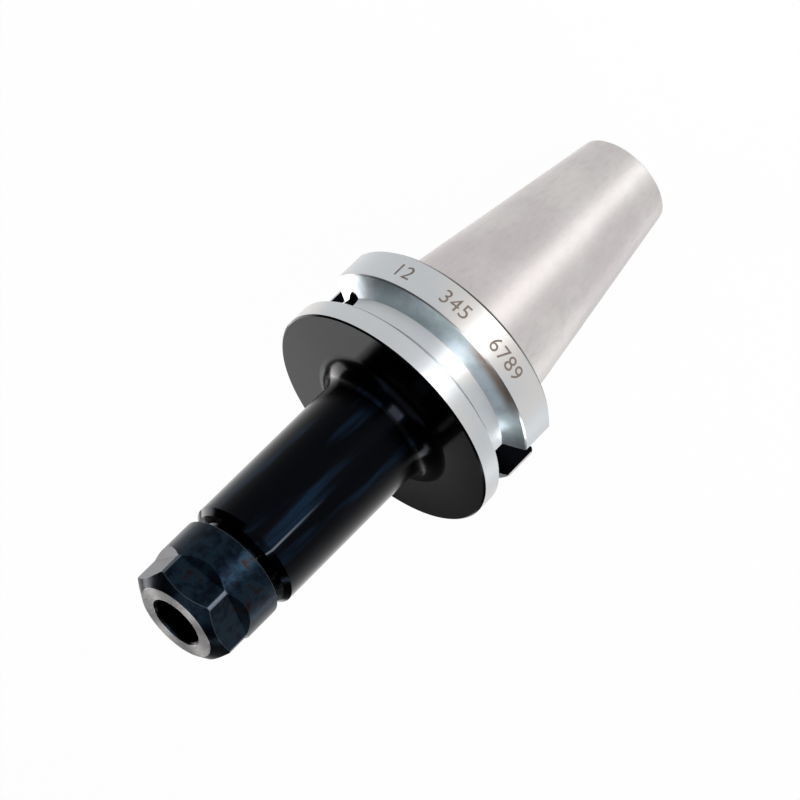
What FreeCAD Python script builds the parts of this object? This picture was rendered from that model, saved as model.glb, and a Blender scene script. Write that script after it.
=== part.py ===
import FreeCAD, Part
import math, os

# Collet chuck holder: a steep taper toolholder body and the hexagon nut that clamps a collet in its nose.
# Millimetres. The row frame has +Z along the spindle axis towards the nose, and its origin at the centre of
# the small end of the taper. The two drive keyways open along +X and -X.

os.makedirs("parts", exist_ok=True)

V = FreeCAD.Vector
Z_DIR = V(0, 0, 1)

# ---- taper shank, size 40 steep taper ----
GAUGE_D = 44.45            # diameter in the gauge plane
TAPER_L = 65.4             # gauge plane to the small end
TAPER_RATIO = 7.0 / 24.0   # change of diameter per length
TAIL_CHAMFER = 0.8         # edge of the small end
RELIEF_W = 1.6             # turned relief between taper and flange
RELIEF_DEPTH = 0.5

# ---- flange ----
FLANGE_D = 63.0
FLANGE_REAR = 2.0          # gauge plane to the flange's rear face
FLANGE_FRONT = 27.0        # gauge plane to the flange's front face
FLANGE_REAR_CHAMFER = 1.0
FLANGE_FRONT_CHAMFER = 0.4
VEE_CENTRE = 16.6          # gauge plane to the middle of the gripping groove
VEE_WIDTH = 10.0           # across the groove at the rim
VEE_DEPTH = 5.0            # rim to the groove's floor
VEE_WALL_ANGLE = 30.0      # each wall, from a plane square to the axis
VEE_EDGE = 0.3             # broken edge at the rim

# ---- marking hole in the groove, beside one keyway ----
MARK_HOLE_D = 5.8
MARK_HOLE_DEPTH = 3.5      # below the groove's floor
MARK_HOLE_TURN = 27.5      # from the keyway's middle line

# ---- drive keyways ----
KEY_WIDTH = 16.1
KEY_DEPTH = 8.9            # rim to the keyway's floor, on the keyway's middle line
KEY_END = 21.0             # gauge plane to the closed end of the keyway
KEY_CORNER_R = 1.0
KEY_EDGE = 0.5             # broken edges of the keyway mouth

# ---- neck ----
NECK_D = 29.0
NECK_FILLET = 5.0
NECK_END = 77.6            # gauge plane to the shoulder that faces the nut
NECK_CHAMFER = 1.4
NOSE_RELIEF_D = 20.2       # thread run-out groove behind the nut
NOSE_RELIEF_CORNER = 0.8
NOSE_D = 22.0              # major diameter of the nose thread
NOSE_END = 91.0            # gauge plane to the nose face
NOSE_CHAMFER = 0.9

# ---- nut ----
NUT_D = 28.2
NUT_FACE = 100.0           # gauge plane to the nut's front face
NUT_L = 19.6
NUT_AF = 24.8              # across the flats
NUT_FLATS = 6
NUT_TURN = 40.4            # first flat's direction, from +X
NUT_HEX_L = 8.5            # front face to the end of the flats
NUT_RUNOUT = 40.0          # slope of the run-out behind each flat
NUT_RING_D = 20.9          # flat ring on the front face
NUT_CONE = 36.0            # front chamfer, from the face
NUT_REAR_CHAMFER = 0.5
NUT_MOUTH_CHAMFER = 1.0
NUT_THREAD_CLEAR = 0.10    # radial gap between the plain thread walls of nut and nose
NUT_HOLE_D = 13.0
NUT_HOLE_CHAMFER = 0.5
NUT_LIP_L = 0.6            # straight wall of the front hole
SEAT_HALF_ANGLE = 30.0     # cone that presses the collet, from the axis
SEAT_D = 17.3              # room for the collet's head
SEAT_L = 1.0
RIB_L = 1.6                # extractor rib, which catches in the collet's groove
RIB_BORE_D = 15.5
RIB_OFFSET = 0.6           # the rib is bored off centre, so that a tilted collet snaps in

# ---- collet pocket ----
POCKET_MOUTH_D = 16.0
POCKET_HALF_ANGLE = 8.0
POCKET_L = 27.0
POCKET_LEAD = 0.5
BACK_BORE_D = 11.0         # clearance bore behind the pocket
BACK_BORE_L = 24.0
COOLANT_D = 6.0

# ---- pull stud hole ----
STUD_PILOT_D = 17.0
STUD_PILOT_L = 9.0
STUD_CORE_D = 14.0         # plain wall of the M16 thread
STUD_HOLE_L = 43.0
STUD_MOUTH_CHAMFER = 0.8
DRILL_HALF_ANGLE = 59.0

PAST = 1.0                 # how far a cutting tool runs past the face it opens
TOUCH = 1e-6               # two places closer than this are the same


def z_of(from_gauge):
    """Height in the row frame of a plane given by its distance from the gauge plane."""
    return TAPER_L + from_gauge


def tangent(degrees):
    return math.tan(math.radians(degrees))


def revolve(points):
    """Turn a closed (radius, height) profile about the axis."""
    wire = Part.makePolygon([V(r, 0, z) for r, z in points] + [V(points[0][0], 0, points[0][1])])
    return Part.Face(wire).revolve(V(0, 0, 0), Z_DIR, 360)


def taper_radius(height):
    return GAUGE_D / 2 - (TAPER_L - height) * TAPER_RATIO / 2


def body_outline():
    """Outer profile of shank, flange, neck and nose as wire edges, from tail to nose."""
    tail_r = taper_radius(0)
    relief_z0 = z_of(FLANGE_REAR) - RELIEF_W
    relief_r = taper_radius(relief_z0) - RELIEF_DEPTH
    rim = FLANGE_D / 2
    floor = rim - VEE_DEPTH
    half_rim = VEE_WIDTH / 2
    half_floor = half_rim - VEE_DEPTH * tangent(VEE_WALL_ANGLE)
    vee = z_of(VEE_CENTRE)
    edge_z = VEE_EDGE * tangent(VEE_WALL_ANGLE)
    neck = NECK_D / 2
    front = z_of(FLANGE_FRONT)
    shoulder = z_of(NECK_END)
    nose = NOSE_D / 2
    nose_end = z_of(NOSE_END)
    relief = NOSE_RELIEF_D / 2
    relief_end = z_of(NUT_FACE - NUT_L) + NUT_MOUTH_CHAMFER
    before_fillet = [
        (0, 0),
        (tail_r - TAIL_CHAMFER, 0),
        (taper_radius(TAIL_CHAMFER), TAIL_CHAMFER),
        (taper_radius(relief_z0), relief_z0),
        (relief_r, relief_z0 + RELIEF_DEPTH),
        (relief_r, z_of(FLANGE_REAR)),
        (rim - FLANGE_REAR_CHAMFER, z_of(FLANGE_REAR)),
        (rim, z_of(FLANGE_REAR) + FLANGE_REAR_CHAMFER),
        (rim, vee - half_rim - edge_z),
        (rim - VEE_EDGE, vee - half_rim + edge_z),
        (floor, vee - half_floor),
        (floor, vee + half_floor),
        (rim - VEE_EDGE, vee + half_rim - edge_z),
        (rim, vee + half_rim + edge_z),
        (rim, front - FLANGE_FRONT_CHAMFER),
        (rim - FLANGE_FRONT_CHAMFER, front),
        (neck + NECK_FILLET, front),
    ]
    after_fillet = [
        (neck, front + NECK_FILLET),
        (neck, shoulder - NECK_CHAMFER),
        (neck - NECK_CHAMFER, shoulder),
        (relief + NOSE_RELIEF_CORNER, shoulder),
        (relief, shoulder + NOSE_RELIEF_CORNER),
        (relief, relief_end),
        (nose, relief_end + (nose - relief)),
        (nose, nose_end - NOSE_CHAMFER),
        (nose - NOSE_CHAMFER, nose_end),
        (0, nose_end),
    ]
    middle = V(neck + NECK_FILLET - NECK_FILLET * math.sqrt(0.5), 0,
               front + NECK_FILLET - NECK_FILLET * math.sqrt(0.5))
    first = [V(r, 0, z) for r, z in before_fillet]
    last = [V(r, 0, z) for r, z in after_fillet]
    edges = [Part.makeLine(a, b) for a, b in zip(first, first[1:])]
    edges.append(Part.Arc(first[-1], middle, last[0]).toShape())
    edges += [Part.makeLine(a, b) for a, b in zip(last, last[1:])]
    edges.append(Part.makeLine(last[-1], first[0]))
    return Part.Wire(edges)


def body_bore():
    """Everything hollow on the axis: collet pocket, back bore, coolant hole and pull stud hole."""
    face = z_of(NOSE_END)
    mouth = POCKET_MOUTH_D / 2
    pocket_end = face - POCKET_L
    pocket_small = mouth - (POCKET_L - POCKET_LEAD) * tangent(POCKET_HALF_ANGLE)
    back = BACK_BORE_D / 2
    back_end = pocket_end - BACK_BORE_L
    coolant = COOLANT_D / 2
    core = STUD_CORE_D / 2
    pilot = STUD_PILOT_D / 2
    back_cone = (back - coolant) / tangent(DRILL_HALF_ANGLE)
    stud_cone = (core - coolant) / tangent(DRILL_HALF_ANGLE)
    return revolve([
        (0, -PAST),
        (pilot + STUD_MOUTH_CHAMFER + PAST, -PAST),
        (pilot, STUD_MOUTH_CHAMFER),
        (pilot, STUD_PILOT_L),
        (core, STUD_PILOT_L),
        (core, STUD_HOLE_L),
        (coolant, STUD_HOLE_L + stud_cone),
        (coolant, back_end - back_cone),
        (back, back_end),
        (back, pocket_end),
        (pocket_small, pocket_end),
        (mouth, face - POCKET_LEAD),
        (mouth + POCKET_LEAD + PAST, face + PAST),
        (0, face + PAST),
    ])


def keyway_cutter(side):
    """Slot for a drive key, milled from the flange's rear, with round inner corners and a broken mouth."""
    start = z_of(FLANGE_REAR) - PAST
    length = z_of(KEY_END) - start
    half = KEY_WIDTH / 2
    floor = FLANGE_D / 2 - KEY_DEPTH
    depth = KEY_DEPTH + PAST
    block = Part.makeBox(depth, KEY_WIDTH, length, V(floor, -half, start))
    corners = []
    for edge in block.Edges:
        box = edge.BoundBox
        floor_side = abs(box.Center.x - floor) < TOUCH and box.ZLength > length - TOUCH
        end_side = abs(box.Center.z - z_of(KEY_END)) < TOUCH and box.XLength > depth - TOUCH
        if floor_side or end_side:
            corners.append(edge)
    block = block.makeFillet(KEY_CORNER_R, corners)
    rim_x = math.sqrt((FLANGE_D / 2) ** 2 - half ** 2)
    inner_x = rim_x - KEY_EDGE
    outer_x = rim_x + 2 * KEY_EDGE
    spread = half + 3 * KEY_EDGE
    mouth = Part.Face(Part.makePolygon([
        V(inner_x, -half, start),
        V(outer_x, -spread, start),
        V(outer_x, spread, start),
        V(inner_x, half, start),
        V(inner_x, -half, start),
    ])).extrude(V(0, 0, length))
    cutter = block.fuse(mouth)
    if side < 0:
        cutter.rotate(V(0, 0, 0), Z_DIR, 180)
    return cutter


def mark_hole_cutter():
    """Drill for the blind hole in the groove's floor that tells the holder's two sides apart."""
    radius = MARK_HOLE_D / 2
    bottom = FLANGE_D / 2 - VEE_DEPTH - MARK_HOLE_DEPTH
    drill = revolve([
        (0, bottom - radius / tangent(DRILL_HALF_ANGLE)),
        (radius, bottom),
        (radius, FLANGE_D / 2),
        (0, FLANGE_D / 2),
    ])
    drill.rotate(V(0, 0, 0), V(0, 1, 0), 90)
    drill.rotate(V(0, 0, 0), Z_DIR, -MARK_HOLE_TURN)
    drill.translate(V(0, 0, z_of(VEE_CENTRE)))
    return drill


def make_body():
    body = Part.Face(body_outline()).revolve(V(0, 0, 0), Z_DIR, 360)
    body = body.cut(body_bore())
    for side in (1, -1):
        body = body.cut(keyway_cutter(side))
    return body.cut(mark_hole_cutter())


def nut_inside():
    """Hollow of the nut: thread bore, off-centre extractor rib, collet seat and front hole."""
    face = z_of(NUT_FACE)
    rear = face - NUT_L
    thread = NOSE_D / 2 + NUT_THREAD_CLEAR
    hole = NUT_HOLE_D / 2
    seat = SEAT_D / 2
    lip_end = face - NUT_HOLE_CHAMFER - NUT_LIP_L
    seat_start = lip_end - (seat - hole) / tangent(SEAT_HALF_ANGLE)
    rib_front = seat_start - SEAT_L
    rib_rear = rib_front - RIB_L
    front = revolve([
        (0, rib_front),
        (seat, rib_front),
        (seat, seat_start),
        (hole, lip_end),
        (hole, face - NUT_HOLE_CHAMFER),
        (hole + NUT_HOLE_CHAMFER + PAST, face + PAST),
        (0, face + PAST),
    ])
    rear_bore = revolve([
        (0, rear - PAST),
        (thread + NUT_MOUTH_CHAMFER + PAST, rear - PAST),
        (thread, rear + NUT_MOUTH_CHAMFER),
        (thread, rib_rear),
        (0, rib_rear),
    ])
    rib_bore = Part.makeCylinder(RIB_BORE_D / 2, RIB_L + 2 * SEAT_L, V(RIB_OFFSET, 0, rib_rear - SEAT_L))
    rib_bore.rotate(V(0, 0, 0), Z_DIR, NUT_TURN)
    return front.fuse([rear_bore, rib_bore])


def make_nut():
    face = z_of(NUT_FACE)
    rear = face - NUT_L
    outer = NUT_D / 2
    ring = NUT_RING_D / 2
    cone_drop = (outer - ring) * tangent(NUT_CONE)
    blank = revolve([
        (0, rear),
        (outer - NUT_REAR_CHAMFER, rear),
        (outer, rear + NUT_REAR_CHAMFER),
        (outer, face - cone_drop),
        (ring, face),
        (0, face),
    ])
    nut = blank.cut(nut_inside())
    for step in range(NUT_FLATS):
        nut = nut.cut(flat_cutter(NUT_TURN + step * 360 / NUT_FLATS))
    return nut


def flat_cutter(direction):
    """Removes one flat of the hexagon, with the slope on which the cutter ran out behind it."""
    face = z_of(NUT_FACE)
    flat = NUT_AF / 2
    start = face - NUT_HEX_L
    far = NUT_D
    run = (far - flat) / tangent(NUT_RUNOUT)
    profile = Part.Face(Part.makePolygon([
        V(flat, -NUT_D, start),
        V(far, -NUT_D, start - run),
        V(far, -NUT_D, face + PAST),
        V(flat, -NUT_D, face + PAST),
        V(flat, -NUT_D, start),
    ]))
    cutter = profile.extrude(V(0, 2 * NUT_D, 0))
    cutter.rotate(V(0, 0, 0), Z_DIR, direction)
    return cutter


make_body().exportStep("parts/holder_body.step")
make_nut().exportStep("parts/clamping_nut.step")
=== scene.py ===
# %% [markdown]
# # A collet chuck holder: taper shank, flange, neck and clamping nut
#
# The solids of this toolholder come from a CAD model. Here they get their finishes, their fine edges
# and threads, light and a camera.

# %% Load the frame
import math

import bpy
from mathutils import Matrix, Vector


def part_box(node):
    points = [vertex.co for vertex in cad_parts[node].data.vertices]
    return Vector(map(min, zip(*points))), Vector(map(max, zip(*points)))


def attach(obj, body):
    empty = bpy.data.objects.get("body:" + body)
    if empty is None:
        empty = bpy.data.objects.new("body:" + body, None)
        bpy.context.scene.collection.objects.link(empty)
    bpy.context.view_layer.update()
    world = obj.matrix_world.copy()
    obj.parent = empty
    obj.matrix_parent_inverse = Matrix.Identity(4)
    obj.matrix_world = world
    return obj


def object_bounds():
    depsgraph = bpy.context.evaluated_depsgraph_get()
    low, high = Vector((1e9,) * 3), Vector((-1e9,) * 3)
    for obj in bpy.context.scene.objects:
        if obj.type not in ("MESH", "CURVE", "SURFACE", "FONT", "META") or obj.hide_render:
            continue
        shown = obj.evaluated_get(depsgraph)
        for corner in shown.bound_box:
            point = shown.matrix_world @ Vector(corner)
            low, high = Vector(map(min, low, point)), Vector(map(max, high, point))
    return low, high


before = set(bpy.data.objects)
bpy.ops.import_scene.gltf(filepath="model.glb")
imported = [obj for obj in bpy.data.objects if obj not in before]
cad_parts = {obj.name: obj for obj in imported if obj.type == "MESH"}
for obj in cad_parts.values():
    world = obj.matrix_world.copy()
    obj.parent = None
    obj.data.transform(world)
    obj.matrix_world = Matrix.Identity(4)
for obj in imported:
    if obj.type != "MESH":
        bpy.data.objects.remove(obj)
cad_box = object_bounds()
MM = 0.001
body_low, body_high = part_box("holder_body")
nut_low, nut_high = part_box("clamping_nut")
print("whole part in mm:", [round((high - low) / MM, 1) for low, high in zip(*cad_box)])

# %% [markdown]
# ## Heights along the spindle axis
#
# Machinists measure this kind of holder from the gauge plane, where the taper has its nominal diameter.
# All finishes change at turned edges, so the edges get names here and every later step uses them.

# %% Named heights and radii
GAUGE = body_low[2] + 65.4 * MM
RIM_R = body_high[0]
FLANGE_REAR = GAUGE + 2.0 * MM
FLANGE_FRONT = GAUGE + 27.0 * MM
FRONT_EDGE = FLANGE_FRONT - 0.42 * MM
VEE_REAR = GAUGE + 11.75 * MM
VEE_FLOOR_REAR = GAUGE + 14.45 * MM
VEE_MIDDLE = GAUGE + 16.6 * MM
VEE_FLOOR_FRONT = GAUGE + 18.8 * MM
KEYWAY_END = GAUGE + 21.05 * MM
NUT_REAR = nut_low[2]
NUT_FACE = nut_high[2]
HOLE_AZIMUTH = math.radians(-27.5)
NUT_TURN = math.radians(40.4)
NUT_RING_R = 10.45 * MM
NUT_FLAT_R = 12.4 * MM
NUT_RIM_R = 14.1 * MM
NUT_CONE_SLOPE = math.tan(math.radians(36))
SOFT = 0.03 * MM
VIEW_AZIMUTH = -97.1
print("gauge plane at", round(GAUGE / MM, 2), "mm, nut face at", round(NUT_FACE / MM, 2), "mm")

# %% [markdown]
# ## Shader maths as plain expressions
#
# A finish that varies over a surface is a small formula. Wiring each sum and product by hand hides the
# formula, so this class wraps a node's output and lets Python's own operators add the Math nodes. One
# method makes every other node: its settings are set first, then its sockets get values or links.

# %% A value that varies over a surface
class Field:
    def __init__(self, paint, socket):
        self.paint = paint
        self.socket = socket

    def math(self, operation, other=None):
        values = [self] if other is None else [self, other]
        return self.paint.node("ShaderNodeMath", {"operation": operation}, dict(enumerate(values)))

    def __add__(self, other):
        return self.math("ADD", other)

    def __sub__(self, other):
        return self.math("SUBTRACT", other)

    def __mul__(self, other):
        return self.math("MULTIPLY", other)

    def __truediv__(self, other):
        return self.math("DIVIDE", other)

    def __rsub__(self, other):
        return self.paint.node("ShaderNodeMath", {"operation": "SUBTRACT"}, {0: other, 1: self})

    __radd__ = __add__

    def absolute(self):
        return self.math("ABSOLUTE")

    def smaller(self, other):
        return self.math("MINIMUM", other)

    def larger(self, other):
        return self.math("MAXIMUM", other)

    def ramp(self, start, end, low=0.0, high=1.0):
        """Goes smoothly from low to high while this value goes from start to end."""
        return self.paint.node("ShaderNodeMapRange", {"interpolation_type": "SMOOTHSTEP"},
                               {"Value": self, "From Min": start, "From Max": end,
                                "To Min": low, "To Max": high})

    def between(self, low, high, soft):
        """One between low and high, nought outside, with edges as wide as soft."""
        return self.ramp(low - soft, low + soft) * self.ramp(high + soft, high - soft)


class Tree:
    """A node tree that grows by one method, for materials and for geometry."""

    def __init__(self, tree):
        self.tree = tree
        self.tree.nodes.clear()

    def node(self, kind, settings=None, inputs=None, output=0):
        made = self.tree.nodes.new(kind)
        for key, value in (settings or {}).items():
            if key == "stops":
                self.fill_ramp(made, value)
            else:
                setattr(made, key, value)
        for key, value in (inputs or {}).items():
            if isinstance(value, Field):
                self.tree.links.new(value.socket, made.inputs[key])
            else:
                made.inputs[key].default_value = value
        return made if output is None else Field(self, made.outputs[output])

    def fill_ramp(self, made, stops):
        elements = made.color_ramp.elements
        while len(elements) < len(stops):
            elements.new(0.5)
        for element, (position, colour) in zip(elements, stops):
            element.position = position
            element.color = (*colour, 1.0)

    def length(self, across, along):
        return (across * across + along * along).math("SQRT")


class Paint(Tree):
    """One material, built from a few calls."""

    def __init__(self, name):
        self.material = bpy.data.materials.new(name)
        self.material.use_nodes = True
        super().__init__(self.material.node_tree)
        self.place = self.node("ShaderNodeTexCoord", output="Object")
        axes = self.node("ShaderNodeSeparateXYZ", inputs={"Vector": self.place}, output=None)
        self.x, self.y, self.z = (Field(self, socket) for socket in axes.outputs)
        self.radius = self.length(self.x, self.y)

    def thread(self, pitch):
        """Height of a helical thread, from 0 in the root to 1 on the crest."""
        turn = self.y.math("ARCTAN2", self.x) / (2 * math.pi)
        phase = (self.z / pitch + turn).math("FRACT")
        return (phase - 0.5).absolute() * 2.0

    def noise(self, scale, detail=3.0, roughness=0.5, stretch=(1, 1, 1), seed=0.0):
        """Noise from 0 to 1. Scale is in waves per metre; stretch above 1 packs waves along an axis."""
        stretched = self.node("ShaderNodeVectorMath", {"operation": "MULTIPLY"},
                              {0: self.place, 1: Vector(stretch)})
        moved = self.node("ShaderNodeVectorMath", {"operation": "ADD"},
                          {0: stretched, 1: Vector((seed, seed, seed))})
        return self.node("ShaderNodeTexNoise", {},
                         {"Vector": moved, "Scale": scale, "Detail": detail, "Roughness": roughness})

    def mix(self, factor, first, second):
        """Colour mix: first where factor is 0, second where it is 1."""
        made = self.node("ShaderNodeMix", {"data_type": "RGBA"}, {"Factor": factor}, output=None)
        for socket, value in ((made.inputs[6], first), (made.inputs[7], second)):
            if isinstance(value, Field):
                self.tree.links.new(value.socket, socket)
            else:
                socket.default_value = (*value, 1.0)
        return Field(self, made.outputs[2])

    def bump(self, height, strength, distance):
        return self.node("ShaderNodeBump", {}, {"Height": height, "Strength": strength,
                                                "Distance": distance})

    def surface(self, **sockets):
        """The closing shader; socket names are written with _ for a space."""
        shader = self.node("ShaderNodeBsdfPrincipled", {},
                           {name.replace("_", " "): value for name, value in sockets.items()})
        self.node("ShaderNodeOutputMaterial", {}, {"Surface": shader}, output=None)
        return self.material


print("shader helpers ready")

# %% [markdown]
# ## Ground steel and black oxide on one piece
# The groove's wall and floor also get painted reflections, and the neck a painted highlight streak.
#
# The body is one piece of hardened steel. It is blackened all over first, then the taper and the flange
# are ground bright, so the black stays in the keyways, bores and neck. A mask made from the height and
# the radius of each point follows those turned borders exactly. A black oxide film is still a metal's
# surface: dark when seen straight on, bright at a glancing angle. So it is metallic, with a near black
# colour, and needs no second shader.
#
# Two threads are too fine for the solids, in the pull stud's hole and on the nose under the nut. A helix
# in the bump gives each its turns: the height along the axis, divided by the pitch, plus the turn so far.

# %% The body's finish
def black_zones(paint):
    """One on the surfaces that keep their oxide, nought where the body is ground."""
    z, radius = paint.z, paint.radius
    front = z.ramp(FRONT_EDGE - SOFT, FRONT_EDGE + SOFT)
    rear = z.between(FLANGE_REAR - 1.5 * MM, FLANGE_REAR + 0.93 * MM, SOFT)
    key_width = paint.y.absolute().ramp(8.14 * MM, 8.08 * MM)
    key_side = key_width * paint.x.absolute().ramp(22.3 * MM, 22.4 * MM)
    keyway = key_side * z.between(FLANGE_REAR - 1 * MM, KEYWAY_END, SOFT)
    bore = radius.ramp(9.4 * MM, 9.3 * MM) * z.ramp(GAUGE, GAUGE - 1 * MM)
    aside = paint.x * math.sin(-HOLE_AZIMUTH) + paint.y * math.cos(HOLE_AZIMUTH)
    along = paint.x * math.cos(HOLE_AZIMUTH) + paint.y * math.sin(HOLE_AZIMUTH)
    round_hole = paint.length(aside, z - VEE_MIDDLE).ramp(2.96 * MM, 2.92 * MM)
    hole = round_hole * along.ramp(15 * MM, 16 * MM)
    return front.larger(rear).larger(keyway).larger(bore).larger(hole)


def body_finish():
    paint = Paint("ground_and_blackened_steel")
    z, radius = paint.z, paint.radius
    black = black_zones(paint)

    rings = paint.noise(60, 4, 0.6, stretch=(1, 1, 90), seed=3.1)
    grain = paint.noise(900, 3, 0.6, stretch=(1, 1, 0.35), seed=5.2)
    cloud = paint.noise(45, 4, 0.55, seed=7.7)
    tint = paint.noise(28, 2, 0.5, seed=1.3)
    wash = paint.noise(110, 4, 0.6, stretch=(1, 1, 1.4), seed=4.4)
    taper = z.ramp(GAUGE + 0.5 * MM, GAUGE - 0.5 * MM)
    wall = z.between(VEE_REAR, VEE_FLOOR_REAR, SOFT) * radius.ramp(31.3 * MM, 31.1 * MM)
    floor = z.between(VEE_FLOOR_REAR, VEE_FLOOR_FRONT, SOFT)

    land = paint.mix(tint.ramp(0.40, 0.60), (0.56, 0.58, 0.60), (0.67, 0.65, 0.63))
    shank = paint.mix(cloud.ramp(0.35, 0.65), (0.60, 0.565, 0.56), (0.68, 0.655, 0.645))
    shank = paint.mix(grain.ramp(0.45, 0.75) * 0.30, shank, (0.48, 0.455, 0.45))
    steel = paint.mix(taper, land, shank)
    # Painted reflection: a bluish-green tint on the groove wall stands in for what the wall mirrors.
    groove_wall_reflection = paint.mix(wash.ramp(0.36, 0.62), (0.42, 0.52, 0.54), (0.66, 0.75, 0.82))
    angle = paint.y.math("ARCTAN2", paint.x) * (180 / math.pi) - VIEW_AZIMUTH
    # Painted reflection: brown spots on the groove wall, placed by their angle from the camera's azimuth.
    brown_reflection_spots = angle.between(-40, -6, 8) * radius.ramp(28.6 * MM, 30.8 * MM) * wash.ramp(0.34, 0.5)
    groove_wall_reflection = paint.mix(brown_reflection_spots * 0.9, groove_wall_reflection, (0.24, 0.14, 0.075))
    steel = paint.mix(wall * 0.9, steel, groove_wall_reflection)
    # Painted reflection: patches of the groove floor are tinted bluish.
    steel = paint.mix(floor * wash.ramp(0.5, 0.7) * 0.4, steel, (0.46, 0.53, 0.58))
    streak = paint.noise(170, 3, 0.6, stretch=(1, 1, 0.12), seed=8.3)
    neck = z.ramp(FLANGE_FRONT, FLANGE_FRONT + 4 * MM)
    oxide = paint.mix(streak.ramp(0.50, 0.70) * neck, (0.0030, 0.0033, 0.0045), (0.006, 0.015, 0.030))
    # Painted highlight: a thin light streak along the neck, placed by its angle from the camera's
    # azimuth.
    painted_highlight_streak = angle.between(-15.8, -14.0, 0.7) * z.ramp(NUT_REAR - 24 * MM, NUT_REAR - 5 * MM)
    oxide = paint.mix(painted_highlight_streak * streak.ramp(0.3, 0.5) * 0.6, oxide, (0.22, 0.24, 0.27))
    colour = paint.mix(black, steel, oxide)

    bright_rough = 0.26 + taper * 0.08 + rings.ramp(0.3, 0.7) * 0.05 + grain * 0.05
    roughness = bright_rough * (1 - black) + (0.15 + cloud * 0.07) * black
    stud_thread = radius.ramp(7.3 * MM, 7.2 * MM) * z.between(9.2 * MM, 42.5 * MM, SOFT)
    nose_thread = radius.between(10.5 * MM, 11.05 * MM, SOFT) * z.ramp(NUT_REAR - 1 * MM, NUT_REAR)
    cut = paint.thread(2.0 * MM) * stud_thread + paint.thread(1.5 * MM) * nose_thread
    normal = paint.bump(rings * 0.02 + grain * 0.012 + cut, 1.0, 0.5 * MM)
    return paint.surface(Base_Color=colour, Metallic=1.0, Roughness=roughness,
                         Anisotropic=0.75, Anisotropic_Rotation=0.25, Normal=normal)


body_material = body_finish()
print("made", body_material.name)

# %% [markdown]
# ## The blued nut
#
# The nut keeps its heat colour: a blue-black film with clouds of teal, violet and straw. The film is
# thin and clear, so the colour sits in the steel's reflection. The front ring is wiped pale.
# Its worn edges are also painted lighter as edge highlights, and its inside is painted darker as shade.

# %% The nut's finish
def nut_worn_and_highlit_edges(paint):
    """One on the narrow edges where the film is worn and a painted highlight is added: hexagon corners,
    edges of the flats, rear rim.
    """
    sixth = (paint.y.math("ARCTAN2", paint.x) - NUT_TURN) / (math.pi / 3)
    off_flat = ((sixth + 0.5).math("FRACT") - 0.5) * (math.pi / 3)
    across = paint.radius * off_flat.math("COSINE")
    behind_face = NUT_FACE - paint.z
    on_flat = across.between(NUT_FLAT_R - 0.08 * MM, NUT_FLAT_R + 0.08 * MM, SOFT)
    cone_gap = (paint.radius - NUT_RING_R - behind_face / NUT_CONE_SLOPE).absolute()
    front_edge = on_flat * cone_gap.ramp(0.16 * MM, 0.10 * MM)
    outermost = paint.radius.ramp(NUT_RIM_R - 0.12 * MM, NUT_RIM_R - 0.07 * MM)
    corner = outermost * behind_face.ramp(8.9 * MM, 8.3 * MM)
    rearmost = paint.z.ramp(NUT_REAR + 0.52 * MM, NUT_REAR + 0.46 * MM)
    rim = rearmost * paint.radius.ramp(NUT_RIM_R - 0.7 * MM, NUT_RIM_R - 0.5 * MM)
    return (front_edge * 0.6).larger(corner).larger(rim)


def nut_finish():
    paint = Paint("blued_steel")
    cloud = paint.noise(380, 5, 0.68, seed=2.2)
    patch = paint.noise(75, 3, 0.55, seed=9.4)
    film = paint.node("ShaderNodeValToRGB", {"stops": [
        (0.36, (0.0030, 0.0034, 0.0050)),
        (0.46, (0.0050, 0.0085, 0.0150)),
        (0.54, (0.0095, 0.0210, 0.0340)),
        (0.61, (0.0150, 0.0095, 0.0090)),
        (0.66, (0.0045, 0.0045, 0.0070)),
    ]}, {"Fac": cloud * 0.5 + patch * 0.5})
    # Worn film and painted edge highlight: the narrow edges are made lighter.
    film = paint.mix(nut_worn_and_highlit_edges(paint), film, (0.085, 0.10, 0.125))
    # Painted shade: the nut's inner wall behind the front ring is made almost black.
    behind_ring = paint.z.ramp(NUT_FACE - 0.5 * MM, NUT_FACE - 0.6 * MM)
    painted_shade_inside = paint.radius.ramp(11.3 * MM, 11.2 * MM) * behind_ring
    film = paint.mix(painted_shade_inside, film, (0.0012, 0.0012, 0.0016))
    ring = paint.z.ramp(NUT_FACE - 0.06 * MM, NUT_FACE - 0.02 * MM)
    hole = paint.radius.ramp(6.6 * MM, 6.5 * MM)
    speck = paint.noise(1500, 2, 0.6, seed=6.1)
    wiped = paint.mix(speck.ramp(0.4, 0.7), (0.50, 0.49, 0.485), (0.34, 0.335, 0.335))
    colour = paint.mix(ring * (1 - hole), film, wiped)
    roughness = 0.27 + cloud * 0.14 + ring * 0.10
    return paint.surface(Base_Color=colour, Metallic=1.0, Roughness=roughness,
                         Anisotropic=0.85, Anisotropic_Rotation=0.25,
                         Normal=paint.bump(cloud, 0.12, 0.03 * MM))


nut_material = nut_finish()
print("made", nut_material.name)

# %% Assign the finishes to the solids
for node, material in (("holder_body", body_material), ("clamping_nut", nut_material)):
    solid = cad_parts[node]
    for slot in solid.material_slots:
        slot.material = material
    print(node, len(solid.data.polygons), "faces", len(solid.material_slots), "slot")

# %% [markdown]
# ## Numbers etched into the flange
#
# A marking is etched into the land behind the groove. Geometry Nodes write each number flat, fill its
# outline and cut it fine enough to bend. Then every point goes to the cylinder: its distance along the
# line becomes an angle, its height on the line becomes a height on the axis. The tops of the digits
# point to the taper's small end, so the angle falls from digit to digit.

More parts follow.
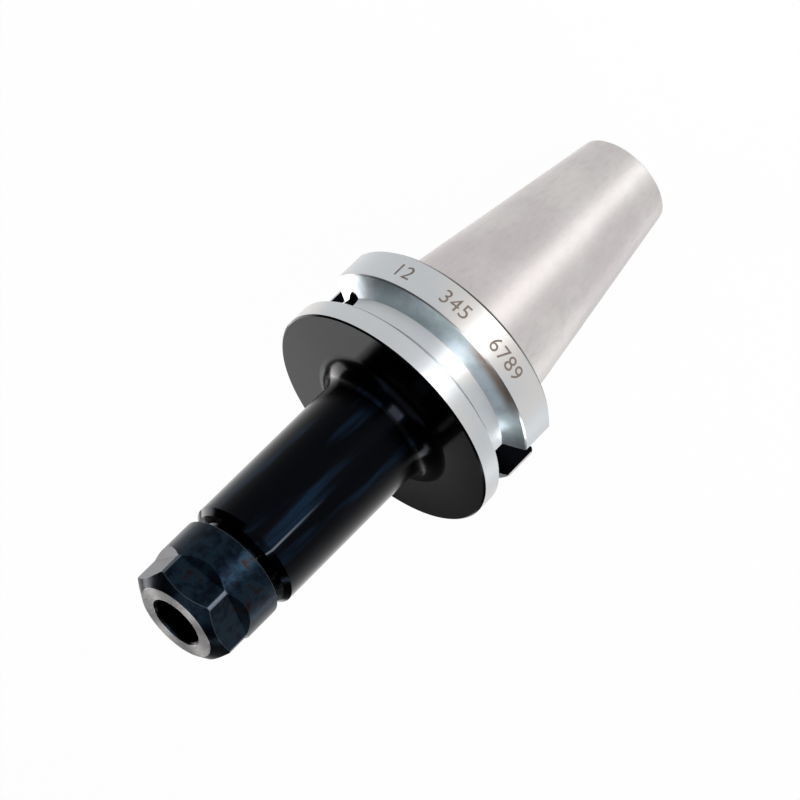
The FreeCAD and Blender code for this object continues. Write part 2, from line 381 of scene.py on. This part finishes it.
# %% A geometry tree that wraps a number round the flange
def number_tree(material):
    group = bpy.data.node_groups.new("number_on_cylinder", "GeometryNodeTree")
    for name, kind in (("Number", "NodeSocketString"), ("Size", "NodeSocketFloat"),
                       ("Radius", "NodeSocketFloat"), ("Azimuth", "NodeSocketFloat"),
                       ("Height", "NodeSocketFloat")):
        group.interface.new_socket(name, in_out="INPUT", socket_type=kind)
    group.interface.new_socket("Geometry", in_out="OUTPUT", socket_type="NodeSocketGeometry")
    tree = Tree(group)
    given = tree.node("NodeGroupInput", output=None)
    number, size, radius, azimuth, height = (Field(tree, given.outputs[index]) for index in range(5))
    flat = tree.node("GeometryNodeStringToCurves", {"align_x": "CENTER", "align_y": "MIDDLE"},
                     {"String": number, "Size": size, "Character Spacing": 1.06})
    joined = tree.node("GeometryNodeRealizeInstances", {}, {"Geometry": flat})
    filled = tree.node("GeometryNodeFillCurve", {}, {"Curve": joined})
    cut = tree.node("GeometryNodeSubdivideMesh", {}, {"Mesh": filled, "Level": 2})
    place = tree.node("GeometryNodeInputPosition")
    axes = tree.node("ShaderNodeSeparateXYZ", {}, {"Vector": place}, output=None)
    across, up = Field(tree, axes.outputs[0]), Field(tree, axes.outputs[1])
    angle = azimuth - across / radius
    wrapped = tree.node("ShaderNodeCombineXYZ", {}, {
        "X": radius * angle.math("COSINE"), "Y": radius * angle.math("SINE"), "Z": height - up})
    bent = tree.node("GeometryNodeSetPosition", {}, {"Geometry": cut, "Position": wrapped})
    whole = tree.node("GeometryNodeRealizeInstances", {}, {"Geometry": bent})
    painted = tree.node("GeometryNodeSetMaterial", {}, {"Geometry": whole, "Material": material})
    tree.node("NodeGroupOutput", {}, {"Geometry": painted}, output=None)
    return group


def etch_finish():
    paint = Paint("etched_steel")
    spread = paint.noise(2200, 2, 0.5, seed=4.9)
    colour = paint.mix(spread.ramp(0.35, 0.65), (0.120, 0.094, 0.078), (0.175, 0.140, 0.118))
    return paint.surface(Base_Color=colour, Metallic=0.3, Roughness=0.6)


numbers = number_tree(etch_finish())
print("made", numbers.name)

# %% Write the three numbers
DIGIT_SIZE = 5.5 * MM
DIGIT_LIFT = 0.008 * MM
DIGIT_HEIGHT = GAUGE + 7.4 * MM


def etched_number(name, text, degrees):
    piece = bpy.data.objects.new(name, bpy.data.meshes.new(name))
    bpy.context.collection.objects.link(piece)
    modifier = piece.modifiers.new("number", "NODES")
    modifier.node_group = numbers
    values = {"Number": text, "Size": DIGIT_SIZE, "Radius": RIM_R + DIGIT_LIFT,
              "Azimuth": math.radians(VIEW_AZIMUTH + degrees), "Height": DIGIT_HEIGHT}
    for item in numbers.interface.items_tree:
        if item.in_out == "INPUT":
            modifier[item.identifier] = values[item.name]
    evaluated = piece.evaluated_get(bpy.context.evaluated_depsgraph_get())
    mesh = bpy.data.meshes.new_from_object(evaluated)
    piece.modifiers.remove(modifier)
    piece.data = mesh
    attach(piece, "holder")
    print(name, "has", len(mesh.polygons), "faces")


etched_number("etched_number_left", "12", 41.5)
etched_number("etched_number_middle", "345", 12.5)
etched_number("etched_number_right", "6789", -19.5)

# %% [markdown]
# ## Floor, light and camera
#
# The floor glows white for the camera and in mirrors, and is a plain pale surface for all other light.
# The holder stands upright, so its walls mirror that floor. Five soft lamps shape them, each placed by
# its angle from the camera's own azimuth. The lamp behind lights the faces that look towards the nut,
# and the one overhead lights the groove.

# %% A pale floor that shows white
def floor_finish():
    paint = Paint("pale_floor")
    diffuse = paint.node("ShaderNodeBsdfDiffuse", {}, {"Color": (0.92, 0.92, 0.92, 1)})
    glow = paint.node("ShaderNodeEmission", {}, {"Color": (1, 1, 1, 1), "Strength": 1.0})
    path = paint.node("ShaderNodeLightPath", output=None)
    seen, glossy, through = (Field(paint, path.outputs[name])
                             for name in ("Is Camera Ray", "Is Glossy Ray", "Is Transmission Ray"))
    share = (seen + glossy + through).smaller(1.0) * 0.97
    mixed = paint.node("ShaderNodeMixShader", {}, {"Fac": share, 1: diffuse, 2: glow})
    paint.node("ShaderNodeOutputMaterial", {}, {"Surface": mixed}, output=None)
    return paint.material


bpy.ops.mesh.primitive_plane_add(size=6.0, location=(0, 0, cad_box[0][2]))
floor = bpy.context.object
floor.name = "floor"
floor.data.materials.append(floor_finish())
print("made", floor.name)

# %% Soft studio light
world = bpy.data.worlds.new("studio")
bpy.context.scene.world = world
world.use_nodes = True
background = world.node_tree.nodes["Background"]
background.inputs["Color"].default_value = (1.0, 1.0, 1.0, 1.0)
background.inputs["Strength"].default_value = 0.05


def direction_of(azimuth, elevation):
    a, e = math.radians(azimuth), math.radians(elevation)
    return Vector((math.cos(e) * math.cos(a), math.cos(e) * math.sin(a), math.sin(e)))


def soft_lamp(name, azimuth, elevation, distance, width, height, power, colour=(1, 1, 1)):
    lamp = bpy.data.lights.new(name, "AREA")
    lamp.shape = "RECTANGLE"
    lamp.size = width
    lamp.size_y = height
    lamp.energy = power
    lamp.color = colour
    holder = bpy.data.objects.new(name, lamp)
    bpy.context.collection.objects.link(holder)
    direction = direction_of(azimuth, elevation)
    middle = Vector((0, 0, (cad_box[0][2] + cad_box[1][2]) / 2))
    holder.location = middle + direction * distance
    holder.rotation_mode = "QUATERNION"
    holder.rotation_quaternion = (-direction).to_track_quat("-Z", "Y")


soft_lamp("band", VIEW_AZIMUTH - 10, 10, 0.9, 0.42, 1.0, 14.0)
soft_lamp("side_band", VIEW_AZIMUTH - 105, 10, 0.9, 0.20, 0.9, 4.0)
soft_lamp("left_edge", VIEW_AZIMUTH + 140, 6, 0.9, 0.45, 0.9, 4.5, (1.0, 0.95, 0.94))
soft_lamp("behind", VIEW_AZIMUTH + 172.9, 25, 1.02, 0.245, 0.5, 0.62)
soft_lamp("overhead", VIEW_AZIMUTH, 88, 1.0, 0.8, 0.8, 2.6)
print("lamps:", [lamp.name for lamp in bpy.data.lights])

# %% The camera
VIEW_ELEVATION = 25.2
VIEW_ROLL = 134.7
VIEW_DISTANCE = 0.9387
VIEW_LENS = 178.1
VIEW_SENSOR = 36.0
VIEW_SHIFT = (0.0017, 0.0029)
VIEW_TARGET = Vector((0, 0, 0.0862))


def aim_camera():
    camera = bpy.data.cameras.new("camera")
    camera.lens = VIEW_LENS
    camera.sensor_width = VIEW_SENSOR
    camera.shift_x, camera.shift_y = VIEW_SHIFT
    camera.clip_start = 0.01
    holder = bpy.data.objects.new("camera", camera)
    bpy.context.collection.objects.link(holder)
    direction = direction_of(VIEW_AZIMUTH, VIEW_ELEVATION)
    holder.rotation_mode = "QUATERNION"
    upright = (-direction).to_track_quat("-Z", "Y")
    roll = Matrix.Rotation(math.radians(-VIEW_ROLL), 3, "Z").to_quaternion()
    holder.rotation_quaternion = upright @ roll
    holder.location = VIEW_TARGET + direction * VIEW_DISTANCE
    bpy.context.scene.camera = holder


aim_camera()
bpy.context.scene.view_settings.view_transform = "Standard"
print("camera ready, focal length", VIEW_LENS, "mm")
